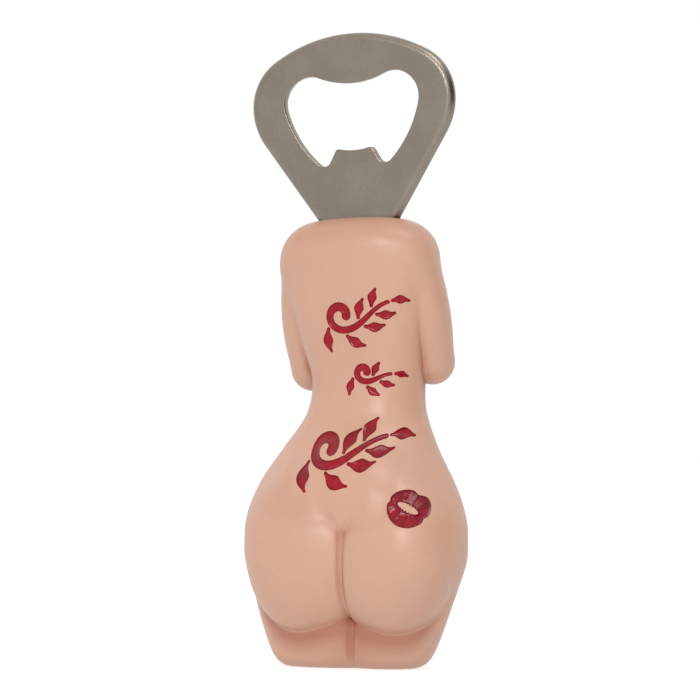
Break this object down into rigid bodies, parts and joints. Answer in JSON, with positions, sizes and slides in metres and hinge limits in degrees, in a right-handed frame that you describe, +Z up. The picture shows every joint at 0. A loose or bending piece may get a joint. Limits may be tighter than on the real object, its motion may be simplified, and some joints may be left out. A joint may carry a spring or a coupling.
{
  "type": "bottle opener",
  "caption": "Stamped steel bottle-opener plate bonded into a cast resin torso-shaped handle that stands upright, with engraved red scrollwork and a lip print.",
  "frame": {"origin": "on the flat sole of the handle, on the hips' centre line and level with the middle of the standing depth", "axes": "+Z up from the sole to the opener's crown, -Y out of the decorated side, +X to the right of someone looking at the decorated side"},
  "size_m": [0.05, 0.0358, 0.1323],
  "materials": {
    "steel": "tumbled satin stainless steel",
    "resin": "satin painted cast polyresin, skin tone",
    "adhesive": "cured epoxy",
    "red_enamel": "brushed-in red enamel paint, soft gloss"
  },
  "bodies": {
    "root": {"opener_plate": "steel", "handle_casting": "resin", "tang_adhesive": "adhesive", "enamel_upper_scroll": "red_enamel", "enamel_middle_scroll": "red_enamel", "enamel_lower_scroll": "red_enamel", "enamel_kiss_print": "red_enamel"}
  },
  "joints": []
}
